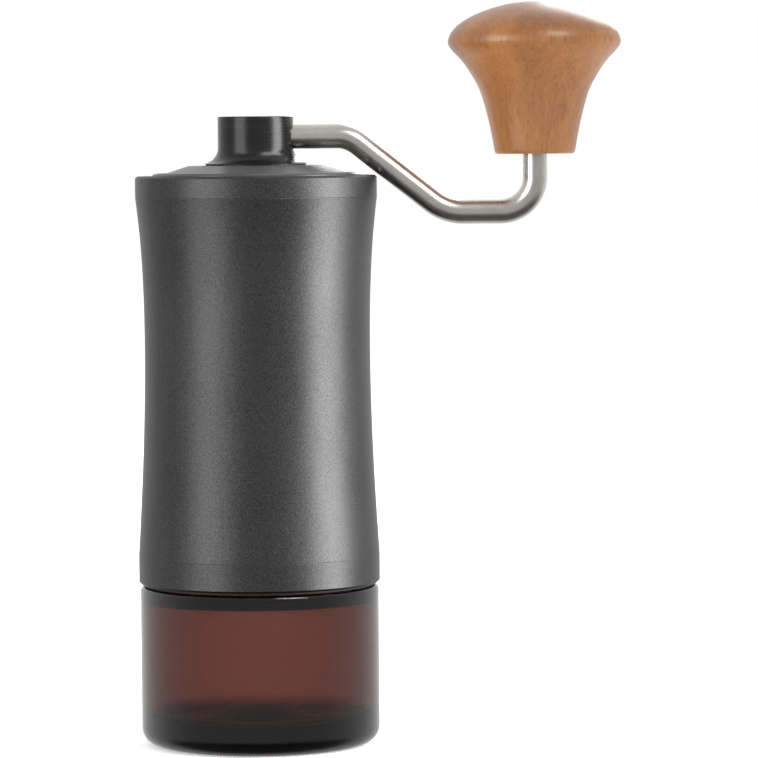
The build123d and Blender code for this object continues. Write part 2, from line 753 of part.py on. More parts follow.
def knob_bush():
    return Pos(CRANK_R, 0, 0) * tube(KNOB_BUSH_R, ROD_R + RUN, knob_bush_foot_z(), KNOB_BUSH_H)


def knob_circlip():
    return Pos(CRANK_R, 0, 0) * circlip(ROD_R, knob_clip_z())


save(glass_jar(), "glass_jar")
save(jar_seal(), "jar_seal")
save(body_sleeve(), "body_sleeve")
save(burr_carrier() - screw_holes(), "burr_carrier")
save(hopper_liner(), "hopper_liner")
save(bearing_bridge(UPPER_SEAT_R, UPPER_BRIDGE_Z, False), "upper_bearing_bridge")
save(bearing_bridge(HOPPER_R, LOWER_BRIDGE_Z, True), "lower_bearing_bridge")
save(bridge_snap_rings(), "bridge_snap_rings")
for name, level in (("upper", UPPER_BRIDGE_Z), ("lower", LOWER_BRIDGE_Z)):
    save(bearing_outer_ring(level), f"{name}_bearing_outer_ring")
    save(bearing_inner_ring(level), f"{name}_bearing_inner_ring")
    save(bearing_balls(level), f"{name}_bearing_balls")
save(bearing_shields(), "bearing_shields")
save(ring_burr(), "ring_burr")
save(burr_clamp_ring(), "burr_clamp_ring")
save(Compound(around(clamp_screw(), 3)), "clamp_ring_screws")
save(cone_burr(), "cone_burr")
save(click_plate(), "click_plate")
save(drive_shaft(), "drive_shaft")
save(shaft_circlips(), "shaft_circlips")
save(spring_washer(), "spring_washer")
save(burr_spring(), "burr_spring")
save(grind_dial(), "grind_dial")
save(click_balls(), "click_balls")
save(click_springs(), "click_springs")
save(lid(), "lid")
save(lid_bush(), "lid_bush")
save(lid_o_ring(), "lid_o_ring")
save(crank_hub(), "crank_hub")
save(drive_socket(), "drive_socket")
save(socket_circlip(), "socket_circlip")
save(hub_washer(), "hub_washer")
save(crank_rod(), "crank_rod")
save(rod_grub_screw(), "rod_grub_screw")
save(wooden_knob(), "wooden_knob")
save(knob_bush(), "knob_bush")
save(knob_circlip(), "knob_circlip")
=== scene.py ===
import math

import bpy
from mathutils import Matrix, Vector


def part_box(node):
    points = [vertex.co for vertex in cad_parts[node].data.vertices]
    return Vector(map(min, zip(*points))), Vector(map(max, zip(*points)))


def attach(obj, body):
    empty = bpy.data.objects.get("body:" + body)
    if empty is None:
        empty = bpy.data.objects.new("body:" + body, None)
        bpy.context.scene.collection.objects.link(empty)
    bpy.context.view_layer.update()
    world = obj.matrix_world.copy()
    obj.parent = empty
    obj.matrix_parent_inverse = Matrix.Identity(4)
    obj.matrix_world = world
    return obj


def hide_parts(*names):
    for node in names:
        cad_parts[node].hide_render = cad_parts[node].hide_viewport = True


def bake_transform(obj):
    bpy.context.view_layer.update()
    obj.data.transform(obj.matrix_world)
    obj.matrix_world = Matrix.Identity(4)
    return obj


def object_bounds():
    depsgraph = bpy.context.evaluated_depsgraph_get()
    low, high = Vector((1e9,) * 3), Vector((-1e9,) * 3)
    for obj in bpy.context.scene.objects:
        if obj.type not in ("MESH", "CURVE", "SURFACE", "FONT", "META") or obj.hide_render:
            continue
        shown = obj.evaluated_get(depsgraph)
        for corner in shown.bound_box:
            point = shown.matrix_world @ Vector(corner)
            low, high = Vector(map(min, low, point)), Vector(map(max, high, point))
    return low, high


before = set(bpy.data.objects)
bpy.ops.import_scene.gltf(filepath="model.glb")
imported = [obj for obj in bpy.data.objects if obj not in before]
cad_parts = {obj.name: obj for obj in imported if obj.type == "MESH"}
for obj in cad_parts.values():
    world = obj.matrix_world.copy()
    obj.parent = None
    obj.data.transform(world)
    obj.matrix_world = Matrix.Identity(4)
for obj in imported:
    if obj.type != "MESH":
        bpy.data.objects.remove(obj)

cad_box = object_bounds()

# ---- The camera ----
# Eye level is at the crank's hub, about an arm and a half away through a long lens, and the
# camera is held half a degree off level, so the grinder leans a little to the left.
EYE_BELOW_HUB_TOP = 0.0042
EYE_DISTANCE = 1.1
AIM_LEFT_OF_MIDDLE = 0.0002
AIM_HEIGHT = 0.09102
LENS_MM = 209.6
CAMERA_ROLL = math.radians(-0.46)
hub_low, hub_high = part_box("crank_hub")
middle_x = (cad_box[0][0] + cad_box[1][0]) / 2
aim = Vector((middle_x - AIM_LEFT_OF_MIDDLE, 0, AIM_HEIGHT))
camera_data = bpy.data.cameras.new("camera")
camera_data.sensor_width = 36
camera_data.lens = LENS_MM
camera = bpy.data.objects.new("camera", camera_data)
bpy.context.collection.objects.link(camera)
camera.location = (aim.x, -EYE_DISTANCE, hub_high.z - EYE_BELOW_HUB_TOP)
level = (aim - camera.location).to_track_quat("-Z", "Y").to_euler()
level.rotate_axis("Z", CAMERA_ROLL)
camera.rotation_euler = level
bpy.context.scene.camera = camera

# ---- The floor and the light ----
# A white board that glows faintly, in a room that is white behind, dim in front and dark below,
# with a wide soft light at the right, a weaker one at the left, and small ones high in front
# and behind, the last of them low enough to skim the lid.
FLOOR_SIZE = 12
BOARD_WHITE = (0.9, 0.9, 0.9, 1)
BOARD_ROUGHNESS = 0.9
BOARD_GLOW = 0.42
SOFTBOX_AIM_HEIGHT = 0.1
# Each light: bearing in degrees; height, distance, width and tall in metres; power in watts.
SOFTBOXES = {
    "right_softbox": (74, 0.3, 0.9, 0.55, 1.2, 26),
    "left_softbox": (-47, 0.3, 1.0, 0.6, 1.1, 9),
    "top_softbox": (40, 1.0, 0.9, 0.5, 0.5, 6),
    "back_softbox": (162, 0.9, 1.3, 0.5, 0.4, 3),
    "lid_softbox": (166, 0.45, 1.0, 0.22, 0.22, 1.5),
}
bpy.ops.mesh.primitive_plane_add(size=FLOOR_SIZE, location=(0, 0, cad_box[0][2]))
floor = bpy.context.object
floor.name = "floor"
floor.visible_glossy = False
board = bpy.data.materials.new("white_board")
board.use_nodes = True
board_shader = board.node_tree.nodes["Principled BSDF"]
board_shader.inputs["Base Color"].default_value = BOARD_WHITE
board_shader.inputs["Roughness"].default_value = BOARD_ROUGHNESS
board_shader.inputs["Emission Color"].default_value = (1, 1, 1, 1)
board_shader.inputs["Emission Strength"].default_value = BOARD_GLOW
floor.data.materials.append(board)


def add_node(tree, kind, inputs=None, **settings):
    """A node with its settings, its inputs set to values or joined to other nodes' outputs."""
    node = tree.nodes.new(kind)
    for key, value in settings.items():
        setattr(node, key, value)
    for socket, value in (inputs or {}).items():
        if isinstance(value, bpy.types.NodeSocket):
            tree.links.new(value, node.inputs[socket])
        else:
            node.inputs[socket].default_value = value
    return node


def white_room():
    """White to the camera; as light it is brightest behind and dark below and in front."""
    room = bpy.data.worlds.new("white_room")
    room.use_nodes = True
    tree = room.node_tree
    direction = add_node(tree, "ShaderNodeTexCoord").outputs["Generated"]
    parts = add_node(tree, "ShaderNodeSeparateXYZ", {"Vector": direction})
    depth = {"Value": parts.outputs["Y"], "From Min": -0.7, "From Max": 0.8}
    depth.update({"To Min": 0.56, "To Max": 1.0})
    behind = add_node(tree, "ShaderNodeMapRange", depth, interpolation_type="SMOOTHSTEP")
    ground = {"Value": parts.outputs["Y"], "From Min": 0.0, "From Max": 0.5}
    ground.update({"To Min": 0.2, "To Max": 0.85})
    below = add_node(tree, "ShaderNodeMapRange", ground, interpolation_type="SMOOTHSTEP")
    height = {"Value": parts.outputs["Z"], "From Min": -0.6, "From Max": -0.2}
    height.update({"To Min": below.outputs["Result"], "To Max": 1.0})
    above = add_node(tree, "ShaderNodeMapRange", height, interpolation_type="SMOOTHSTEP")
    glow = add_node(
        tree,
        "ShaderNodeMath",
        {0: behind.outputs["Result"], 1: above.outputs["Result"]},
        operation="MULTIPLY",
    )
    seen = add_node(tree, "ShaderNodeLightPath").outputs["Is Camera Ray"]
    strength = add_node(
        tree, "ShaderNodeMath", {0: glow.outputs["Value"], 1: seen}, operation="MAXIMUM"
    )
    tree.links.new(strength.outputs["Value"], tree.nodes["Background"].inputs["Strength"])
    tree.nodes["Background"].inputs["Color"].default_value = (1, 1, 1, 1)
    return room


bpy.context.scene.world = white_room()
bpy.context.scene.view_settings.view_transform = "Standard"


def hang_softbox(name, bearing, height, distance, width, tall, power):
    """A soft light that faces the grinder; bearing 0 is the camera's side, 90 is the right."""
    light = bpy.data.lights.new(name, "AREA")
    light.shape = "RECTANGLE"
    light.size = width
    light.size_y = tall
    light.energy = power
    lamp = bpy.data.objects.new(name, light)
    bpy.context.collection.objects.link(lamp)
    turn = math.radians(bearing)
    lamp.location = (distance * math.sin(turn), -distance * math.cos(turn), height)
    facing = Vector((0, 0, SOFTBOX_AIM_HEIGHT)) - lamp.location
    lamp.rotation_euler = facing.to_track_quat("-Z", "Y").to_euler()
    return lamp


softboxes = {name: hang_softbox(name, *setting) for name, setting in SOFTBOXES.items()}

# ---- The glass jar ----
# A pressed jar of amber glass with a thick foot and a short screw neck. It is poured as one
# gob, so its inside is softer than its outside.
AMBER_KEEPS = (0.42, 0.13, 0.04, 1)
AMBER_DENSITY = 1050.0  # per metre of glass
JAR_WALL = 0.0023
JAR_FLOOR = 0.0055
JAR_FOOT_ROUND = 0.0044
JAR_BROW_ROUND = 0.0015
JAR_HEEL_ROUND = 0.0045
JAR_PUNT = 0.0036
LIP_ROUND = 0.0008
THROAT_ROUND = 0.0008
ROOF_ROUND = 0.0012
NECK_R = 0.0235
NECK_WALL = 0.0022
NECK_INSET = 0.0004
SHOULDER_Z = 0.04
# The domed floor from its edge to the middle: distance from the axis, height over the floor.
JAR_DOME = (
    (0.017, 0.0001),
    (0.0145, 0.0004),
    (0.012, 0.0012),
    (0.009, 0.0026),
    (0.006, 0.0037),
    (0.003, 0.0043),
    (0.001, 0.0044),
)
THREAD_PITCH = 0.004
THREAD_TURNS = 1.2
THREAD_UP = 0.0017
THREAD_CORD_R = 0.0007
jar_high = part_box("glass_jar")[1]


def round_points(r, z, radius, start, end, steps):
    """Points on an arc about (r, z), from one angle to another, in degrees."""
    points = []
    for i in range(steps + 1):
        angle = math.radians(start + (end - start) * i / steps)
        points.append((r + radius * math.cos(angle), z + radius * math.sin(angle)))
    return points


def straight_points(start, end, steps):
    """Points along a straight line, without its first."""
    (r0, z0), (r1, z1) = start, end
    return [(r0 + (r1 - r0) * i / steps, z0 + (z1 - z0) * i / steps) for i in range(1, steps + 1)]


def turn_on_lathe(name, profile, sides=160, centre=(0, 0), crease=32):
    """A ring at the profile's first point, extruded and scaled from point to point.

    A profile that comes back to its start is a closed ring. Any other ends near the axis,
    and both its ends are drawn in to a point.
    """
    x, y = centre
    bpy.ops.object.select_all(action="DESELECT")
    bpy.ops.mesh.primitive_circle_add(
        vertices=sides, radius=profile[0][0], location=(x, y, profile[0][1])
    )
    piece = bpy.context.object
    piece.name = name
    piece.data.name = name
    bpy.ops.object.transform_apply(location=True, rotation=True, scale=True)
    closed = math.dist(profile[0], profile[-1]) < 1e-7
    bpy.ops.object.mode_set(mode="EDIT")
    bpy.ops.mesh.select_all(action="SELECT")
    if not closed:
        bpy.ops.mesh.extrude_region_move(TRANSFORM_OT_translate={"value": (0, 0, 0)})
        bpy.ops.mesh.merge(type="CENTER")
        bpy.ops.object.mode_set(mode="OBJECT")
        for vertex in piece.data.vertices:
            vertex.select = math.hypot(vertex.co.x - x, vertex.co.y - y) > 1e-6
        bpy.ops.object.mode_set(mode="EDIT")
        bpy.ops.mesh.select_mode(type="VERT")
    for (r0, z0), (r1, z1) in zip(profile, profile[1:]):
        bpy.ops.mesh.extrude_region_move(TRANSFORM_OT_translate={"value": (0, 0, z1 - z0)})
        if abs(r1 - r0) > 1e-9:
            ratio = r1 / r0
            bpy.ops.transform.resize(value=(ratio, ratio, 1), center_override=(x, y, z1))
    if not closed:
        bpy.ops.mesh.extrude_region_move(TRANSFORM_OT_translate={"value": (0, 0, 0)})
        bpy.ops.mesh.merge(type="CENTER")
    bpy.ops.mesh.select_all(action="SELECT")
    bpy.ops.mesh.remove_doubles(threshold=1e-6)
    bpy.ops.mesh.normals_make_consistent(inside=False)
    bpy.ops.object.mode_set(mode="OBJECT")
    bpy.ops.object.shade_smooth_by_angle(angle=math.radians(crease))
    return piece


def jar_profile():
    """From the middle of the underside, up the outside, over the lip and down the inside."""
    wall_r = jar_high.x
    inner_r = wall_r - JAR_WALL
    neck_r = NECK_R - NECK_INSET
    mouth_r = NECK_R - NECK_WALL
    top = jar_high.z
    brow_z = SHOULDER_Z - JAR_BROW_ROUND
    throat_z = SHOULDER_Z - 0.0006
    roof_z = SHOULDER_Z - JAR_WALL - 0.0011
    foot, brow, heel, lip, throat = (
        JAR_FOOT_ROUND, JAR_BROW_ROUND, JAR_HEEL_ROUND, LIP_ROUND, THROAT_ROUND
    )
    points = [(0.001, JAR_PUNT), (0.006, JAR_PUNT - 0.0002)]
    points += [(0.011, JAR_PUNT - 0.001), (0.016, 0.0018)]
    points += round_points(0.021, 0.0015, 0.0015, 160, 270, 8)
    points += round_points(wall_r - foot, foot, foot, -90, 0, 14)
    points += straight_points(points[-1], (wall_r, brow_z), 12)
    points += round_points(wall_r - brow, brow_z, brow, 9, 90, 8)
    points += straight_points(points[-1], (NECK_R + NECK_INSET, SHOULDER_Z), 3)
    points += round_points(neck_r + throat, SHOULDER_Z + throat, throat, -90, -180, 5)[1:]
    points += straight_points(points[-1], (neck_r, top - lip), 4)
    points += round_points(neck_r - lip, top - lip, lip, 0, 90, 6)[1:]
    points += round_points(mouth_r + lip, top - lip, lip, 90, 180, 6)
    points += straight_points(points[-1], (mouth_r, throat_z + throat), 3)
    points += round_points(mouth_r + throat, throat_z + throat, throat, 180, 245, 4)[1:]
    points += round_points(inner_r - ROOF_ROUND, roof_z - 0.0008, ROOF_ROUND, 70, 0, 6)
    points += straight_points(points[-1], (inner_r, JAR_FLOOR + heel), 8)
    points += round_points(inner_r - heel, JAR_FLOOR + heel, heel, 0, -80, 9)[1:]
    points += [(r, JAR_FLOOR + rise) for r, rise in JAR_DOME]
    return points


def start_finish(name):
    """A new material, its node tree and its shader."""
    finish = bpy.data.materials.new(name)
    finish.use_nodes = True
    tree = finish.node_tree
    return finish, tree, tree.nodes["Principled BSDF"]


def stretched_noise(tree, scale, stretch=(1, 1, 1), detail=3.0, roughness=0.55, distortion=0.0):
    """Noise over the piece's own coordinates, drawn out along an axis."""
    place = add_node(tree, "ShaderNodeTexCoord")
    mapping = add_node(
        tree, "ShaderNodeMapping", {"Vector": place.outputs["Object"], "Scale": stretch}
    )
    noise = add_node(
        tree,
        "ShaderNodeTexNoise",
        {
            "Vector": mapping.outputs["Vector"],
            "Scale": scale,
            "Detail": detail,
            "Roughness": roughness,
            "Distortion": distortion,
        },
    )
    return noise.outputs["Fac"]


def colour_between(tree, amount, stops):
    """A colour ramp through (place, colour) stops."""
    ramp = add_node(tree, "ShaderNodeValToRGB", {"Fac": amount})
    while len(ramp.color_ramp.elements) < len(stops):
        ramp.color_ramp.elements.new(0.5)
    for element, (place, colour) in zip(ramp.color_ramp.elements, stops):
        element.position = place
        element.color = (*colour[:3], 1)
    return ramp.outputs["Color"]


def number_between(tree, amount, low, high):
    """A number that runs from low to high as amount goes from 0 to 1."""
    spread = add_node(tree, "ShaderNodeMapRange", {"Value": amount, "To Min": low, "To Max": high})
    return spread.outputs["Result"]


def raise_surface(tree, shader, height, strength, depth):
    """Fine relief in the surface, up to the given depth."""
    bump = add_node(
        tree, "ShaderNodeBump", {"Height": height, "Strength": strength, "Distance": depth}
    )
    tree.links.new(bump.outputs["Normal"], shader.inputs["Normal"])


def amber_glass():
    """Glass that darkens with depth, with slow waves left by the mould."""
    finish, tree, shader = start_finish("amber_glass")
    shader.inputs["Base Color"].default_value = (1, 1, 1, 1)
    shader.inputs["Transmission Weight"].default_value = 1.0
    shader.inputs["IOR"].default_value = 1.5
    waves = stretched_noise(tree, 60, (1, 1, 1.6), detail=1.0)
    tree.links.new(number_between(tree, waves, 0.0, 0.03), shader.inputs["Roughness"])
    raise_surface(tree, shader, waves, 0.25, 0.0004)
    depth = add_node(
        tree, "ShaderNodeVolumeAbsorption", {"Color": AMBER_KEEPS, "Density": AMBER_DENSITY}
    )
    tree.links.new(depth.outputs["Volume"], tree.nodes["Material Output"].inputs["Volume"])
    return finish


def wind_wire(name, coil_r, wire_r, low, pitch, turns, sides=10, steps=64):
    """A round wire wound up the Z axis, with flat ends."""
    bpy.ops.object.select_all(action="DESELECT")
    bpy.ops.mesh.primitive_circle_add(
        vertices=sides, radius=wire_r, location=(coil_r, 0, low), rotation=(math.pi / 2, 0, 0)
    )
    wire = bpy.context.object
    wire.name = name
    wire.data.name = name
    bpy.ops.object.transform_apply(location=True, rotation=True, scale=True)
    wind = wire.modifiers.new("wind", "SCREW")
    wind.axis = "Z"
    wind.angle = 2 * math.pi * turns
    wind.screw_offset = pitch * turns
    wind.steps = round(steps * turns)
    wind.render_steps = wind.steps
    bpy.ops.object.modifier_apply(modifier="wind")
    bpy.ops.object.mode_set(mode="EDIT")
    bpy.ops.mesh.select_mode(type="VERT")
    bpy.ops.mesh.select_all(action="DESELECT")
    bpy.ops.mesh.select_non_manifold()
    bpy.ops.mesh.fill_holes(sides=0)
    bpy.ops.mesh.select_all(action="SELECT")
    bpy.ops.mesh.normals_make_consistent(inside=False)
    bpy.ops.object.mode_set(mode="OBJECT")
    bpy.ops.object.shade_smooth_by_angle(angle=math.radians(60))
    return wire


jar = turn_on_lathe("amber_jar", jar_profile(), sides=192)
thread = wind_wire(
    "jar_thread",
    NECK_R - THREAD_CORD_R,
    THREAD_CORD_R,
    SHOULDER_Z + THREAD_UP,
    THREAD_PITCH,
    THREAD_TURNS,
    steps=96,
)
bpy.ops.object.select_all(action="DESELECT")
bpy.context.view_layer.objects.active = jar
jar.select_set(True)
fuse = jar.modifiers.new("fuse", "BOOLEAN")
fuse.operation = "UNION"
fuse.solver = "EXACT"
fuse.object = thread
bpy.ops.object.modifier_apply(modifier="fuse")
bpy.ops.object.shade_smooth_by_angle(angle=math.radians(32))
bpy.data.objects.remove(thread)
jar.data.materials.append(amber_glass())
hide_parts("glass_jar")
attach(jar, "jar")


def keep_lights_off(piece, *names):
    """These lights are flagged off a piece, so that it takes its light from the room."""
    for name in names:
        lamp = softboxes[name]
        flagged = lamp.light_linking.receiver_collection
        if flagged is None:
            flagged = bpy.data.collections.new(f"off_{name}")
            lamp.light_linking.receiver_collection = flagged
        flagged.objects.link(piece)
        newest = flagged.collection_objects[len(flagged.collection_objects) - 1]
        newest.light_linking.link_state = "EXCLUDE"


keep_lights_off(jar, "right_softbox", "left_softbox", "back_softbox", "lid_softbox")

# ---- The jar's seal ----
# A moulded silicone ring, pushed up into the body's mouth. Its thin lip lies between the jar's
# shoulder and the body's edge.
def dress(finish, *nodes):
    """Give the frame's own pieces a finish."""
    for node in nodes:
        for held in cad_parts[node].material_slots:
            held.material = finish


def black_silicone():
    """Matt black rubber with a faint powdery bloom."""
    finish, tree, shader = start_finish("black_silicone")
    bloom = stretched_noise(tree, 700, detail=3.0)
    stops = [(0.35, (0.006, 0.006, 0.006)), (0.7, (0.014, 0.014, 0.015))]
    tree.links.new(colour_between(tree, bloom, stops), shader.inputs["Base Color"])
    tree.links.new(number_between(tree, bloom, 0.55, 0.8), shader.inputs["Roughness"])
    raise_surface(tree, shader, bloom, 0.2, 0.00002)
    return finish


rubber = black_silicone()
dress(rubber, "jar_seal")

# ---- The body sleeve ----
# A tube of aluminium turned to a waist, blasted with fine beads and anodised dark grey. A fine
# line marks where the straight band at each end meets the curve, and the edges are broken.
SLEEVE_GREY = 0.058
sleeve_low, sleeve_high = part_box("body_sleeve")
FOOT_R = 0.0301
WAIST_R = 0.0281
WAIST_UP = 0.0589
FOOT_BAND = 0.0071
RIM_BAND = 0.0054
BORE_R = 0.026
BROKEN_EDGE = 0.0005
LINE_DEPTH = 0.00003


def eased(start, end, start_slope, end_slope, steps):
    """A cubic from one (radius, height) to another that leaves and arrives at given slopes."""
    (r0, z0), (r1, z1) = start, end
    rise = z1 - z0
    points = []
    for i in range(1, steps + 1):
        t = i / steps
        r = (2 * t**3 - 3 * t**2 + 1) * r0 + (t**3 - 2 * t**2 + t) * rise * start_slope
        r += (3 * t**2 - 2 * t**3) * r1 + (t**3 - t**2) * rise * end_slope
        points.append((r, z0 + rise * t))
    return points


def sleeve_profile():
    """Down the bore, out under the foot, up the waisted outside and over the rim."""
    low, high = sleeve_low.z, sleeve_high.z
    rim_r = sleeve_high.x
    line = LINE_DEPTH
    points = [(BORE_R, high - BROKEN_EDGE / 2), (BORE_R, low), (FOOT_R - BROKEN_EDGE, low)]
    points += [(FOOT_R, low + BROKEN_EDGE)]
    foot_top = low + FOOT_BAND
    points += [(FOOT_R, foot_top - 6 * line), (FOOT_R - line, foot_top - 3 * line)]
    points += [(FOOT_R, foot_top)]
    points += eased(points[-1], (WAIST_R, low + WAIST_UP), -0.065, 0, 30)
    points += eased(points[-1], (rim_r, high - RIM_BAND), 0, 0.13, 26)
    points += [(rim_r - line, high - RIM_BAND + 3 * line), (rim_r, high - RIM_BAND + 6 * line)]
    points += [(rim_r, high - BROKEN_EDGE), (rim_r - BROKEN_EDGE, high)]
    points += [(BORE_R + BROKEN_EDGE / 2, high), (BORE_R, high - BROKEN_EDGE / 2)]
    return points


def blasted_aluminium():
    """Anodised dark grey, with the tiny craters left by the beads."""
    finish, tree, shader = start_finish("blasted_aluminium")
    grains = stretched_noise(tree, 3200, detail=2.0)
    clouds = stretched_noise(tree, 90, (1, 1, 0.4), detail=2.0)
    both = add_node(
        tree, "ShaderNodeMath", {0: grains, 1: number_between(tree, clouds, -0.12, 0.12)}
    )
    dark, light = 0.55 * SLEEVE_GREY, 1.45 * SLEEVE_GREY
    stops = [(0.25, (dark, dark, dark * 1.02)), (0.75, (light, light, light * 1.01))]
    tree.links.new(colour_between(tree, both.outputs[0], stops), shader.inputs["Base Color"])
    tree.links.new(number_between(tree, grains, 0.36, 0.52), shader.inputs["Roughness"])
    shader.inputs["Metallic"].default_value = 1.0
    raise_surface(tree, shader, grains, 0.35, 0.00004)
    return finish


sleeve = turn_on_lathe("blasted_sleeve", sleeve_profile(), sides=192, crease=12)
sleeve.data.materials.append(blasted_aluminium())
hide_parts("body_sleeve")
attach(sleeve, "housing")
keep_lights_off(sleeve, "lid_softbox")

# ---- The burr carrier and the hopper liner ----
# Two tubes moulded in black nylon and glued into the sleeve. The carrier holds the burrs and has
# the thread for the jar; the liner above it is the hopper's wall and carries the upper bridge.
def moulded_black(name, grey, rough, texture_scale, depth):
    """Moulded plastic: dark, slightly uneven, with the fine grain of its mould."""
    finish, tree, shader = start_finish(name)
    grain = stretched_noise(tree, texture_scale, detail=2.0)
    patches = stretched_noise(tree, 120, detail=2.0)
    stops = [(0.3, (grey * 0.8,) * 3), (0.7, (grey * 1.2,) * 3)]
    tree.links.new(colour_between(tree, patches, stops), shader.inputs["Base Color"])
    sheen = number_between(tree, grain, rough - 0.06, rough + 0.08)
    tree.links.new(sheen, shader.inputs["Roughness"])
    raise_surface(tree, shader, grain, 0.25, depth)
    return finish


nylon = moulded_black("black_nylon", 0.035, 0.5, 1500, 0.00004)
dress(nylon, "burr_carrier", "hopper_liner")

# ---- The bearing bridges ----
# Two aluminium spiders turned and milled from bar. Each rests on a step inside the body and is
# held down by a wire-steel snap ring in a groove above it.
def lathe_marks(tree, scale, centre=(0, 0)):
    """Fine rings about an upright axis, as a lathe's tool leaves on walls and on faces."""
    place = add_node(tree, "ShaderNodeTexCoord")
    about_axis = add_node(
        tree,
        "ShaderNodeMapping",
        {"Vector": place.outputs["Object"], "Location": (-centre[0], -centre[1], 0)},
    )
    parts = add_node(tree, "ShaderNodeSeparateXYZ", {"Vector": about_axis.outputs["Vector"]})
    flat = add_node(
        tree, "ShaderNodeCombineXYZ", {"X": parts.outputs["X"], "Y": parts.outputs["Y"]}
    )
    across = add_node(
        tree, "ShaderNodeVectorMath", {0: flat.outputs["Vector"]}, operation="LENGTH"
    )
    ring = add_node(
        tree, "ShaderNodeCombineXYZ", {"X": across.outputs["Value"], "Z": parts.outputs["Z"]}
    )
    noise = add_node(
        tree,
        "ShaderNodeTexNoise",
        {"Vector": ring.outputs["Vector"], "Scale": scale, "Detail": 3.0, "Roughness": 0.6},
    )
    return noise.outputs["Fac"]


def bare_metal(name, tone, smooth, rough, marks_scale, stretch=None, depth=0.00002, centre=(0, 0)):
    """Metal with its maker's marks: rings from a lathe, or scratches drawn out by a stretch."""
    finish, tree, shader = start_finish(name)
    if stretch is None:
        marks = lathe_marks(tree, marks_scale, centre)
    else:
        marks = stretched_noise(tree, marks_scale, stretch, detail=3.0)
    patches = stretched_noise(tree, 240, detail=3.0)
    stops = [(0.3, [0.84 * part for part in tone]), (0.7, [1.12 * part for part in tone])]
    tree.links.new(colour_between(tree, patches, stops), shader.inputs["Base Color"])
    tree.links.new(number_between(tree, marks, smooth, rough), shader.inputs["Roughness"])
    shader.inputs["Metallic"].default_value = 1.0
    raise_surface(tree, shader, marks, 0.2, depth)
    return finish


turned_aluminium = bare_metal("turned_aluminium", (0.6, 0.61, 0.63), 0.24, 0.42, 2600)
spring_steel = bare_metal("spring_steel", (0.3, 0.3, 0.31), 0.25, 0.45, 900, (1, 1, 0.3))
dress(turned_aluminium, "upper_bearing_bridge", "lower_bearing_bridge")
dress(spring_steel, "bridge_snap_rings")

# ---- The ball bearings ----
# Two small shielded bearings pressed into the bridges, with ground rings, eight polished balls
# each and thin pressed shields.
ground_steel = bare_metal("ground_steel", (0.7, 0.7, 0.71), 0.1, 0.22, 4200, depth=0.000006)
polished_balls = bare_metal(
    "polished_balls", (0.78, 0.78, 0.78), 0.03, 0.1, 1200, (1, 1, 1), 0.000003
)
pressed_shields = bare_metal("pressed_shields", (0.55, 0.55, 0.56), 0.22, 0.38, 3000)
for bearing in ("upper", "lower"):
    dress(ground_steel, f"{bearing}_bearing_outer_ring", f"{bearing}_bearing_inner_ring")
    dress(polished_balls, f"{bearing}_bearing_balls")
dress(pressed_shields, "bearing_shields")

# ---- The burrs and the clamp ring ----
# A ring burr and a cone burr, machined from tool steel, hardened and left with the cutter's
# marks. A turned ring and three slotted screws hold the ring burr up in its carrier.
cut_steel = bare_metal("cut_steel", (0.42, 0.42, 0.435), 0.24, 0.46, 1700, (1, 0.25, 0.6), 0.00003)
dress(cut_steel, "ring_burr", "cone_burr")
dress(turned_aluminium, "burr_clamp_ring")
dress(spring_steel, "clamp_ring_screws")

# ---- The shaft and the grind setting ----
# A ground steel shaft with a hexagonal head. Over the cone burr a washer and a coil spring press
# it down; under it are its click plate and the aluminium dial, whose two sprung balls click.
ground_shaft = bare_metal("ground_shaft", (0.6, 0.585, 0.57), 0.16, 0.3, 3600, depth=0.00001)
drawn_wire = bare_metal("drawn_wire", (0.5, 0.49, 0.48), 0.18, 0.34, 2400, (1, 1, 0.15), 0.00001)
dress(ground_shaft, "drive_shaft")
dress(spring_steel, "click_plate", "shaft_circlips", "spring_washer")
dress(drawn_wire, "click_springs")
dress(turned_aluminium, "grind_dial")
dress(polished_balls, "click_balls")
spring_low, spring_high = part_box("burr_spring")
SPRING_WIRE_R = 0.00045
SPRING_TURNS = 4
spring_rise = spring_high.z - spring_low.z - 2 * SPRING_WIRE_R
coil = wind_wire(
    "burr_coil",
    spring_high.x - SPRING_WIRE_R,
    SPRING_WIRE_R,
    spring_low.z + SPRING_WIRE_R,
    spring_rise / SPRING_TURNS,
    SPRING_TURNS,
)
coil.data.materials.append(drawn_wire)
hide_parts("burr_spring")
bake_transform(coil)

# ---- The lid ----
# A moulded cap: a flat flange that rests on the body, a low cone up to the hub, a boss for the
# bush and a plug that goes down inside the body. Its flange has a fine step near the rim.
lid_low, lid_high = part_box("lid")
LID_FLAT_R = 0.022
LID_PLATEAU_R = 0.017
LID_CREST = 0.0018
LID_BORE_R = 0.008
LID_FLANGE = 0.00165
LID_ROOF = 0.0019
PLUG_R = 0.0234
PLUG_WALL = 0.0018
O_RING_GROOVE = 0.0011


